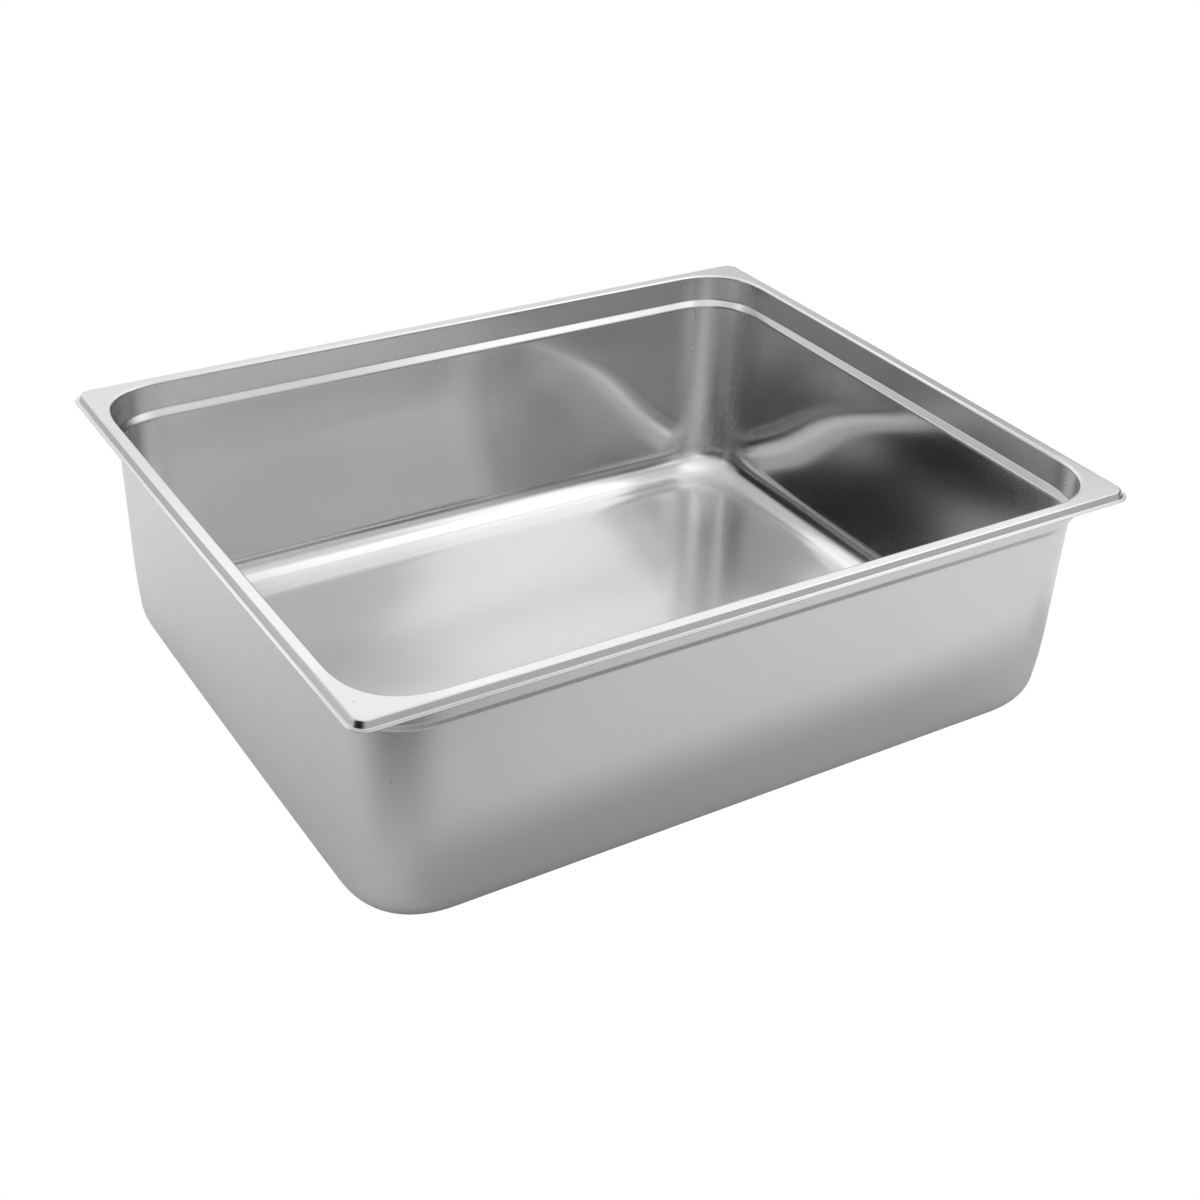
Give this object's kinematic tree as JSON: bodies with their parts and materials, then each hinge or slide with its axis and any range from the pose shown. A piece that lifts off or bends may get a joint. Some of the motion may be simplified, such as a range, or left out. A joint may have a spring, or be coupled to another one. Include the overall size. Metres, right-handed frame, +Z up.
{
  "type": "deli food pan",
  "caption": "Deep rectangular stainless steel food pan with a flat stepped rim, stacking shoulder and round corners, for hanging in a counter or standing on a shelf.",
  "frame": {"origin": "centre of the base's underside, on the surface that the pan stands on", "axes": "+X along the long side, +Y along the short side, +Z up"},
  "size_m": [0.65, 0.53, 0.2],
  "materials": {
    "steel": "satin"
  },
  "bodies": {
    "root": {"pan": "steel"}
  },
  "joints": []
}
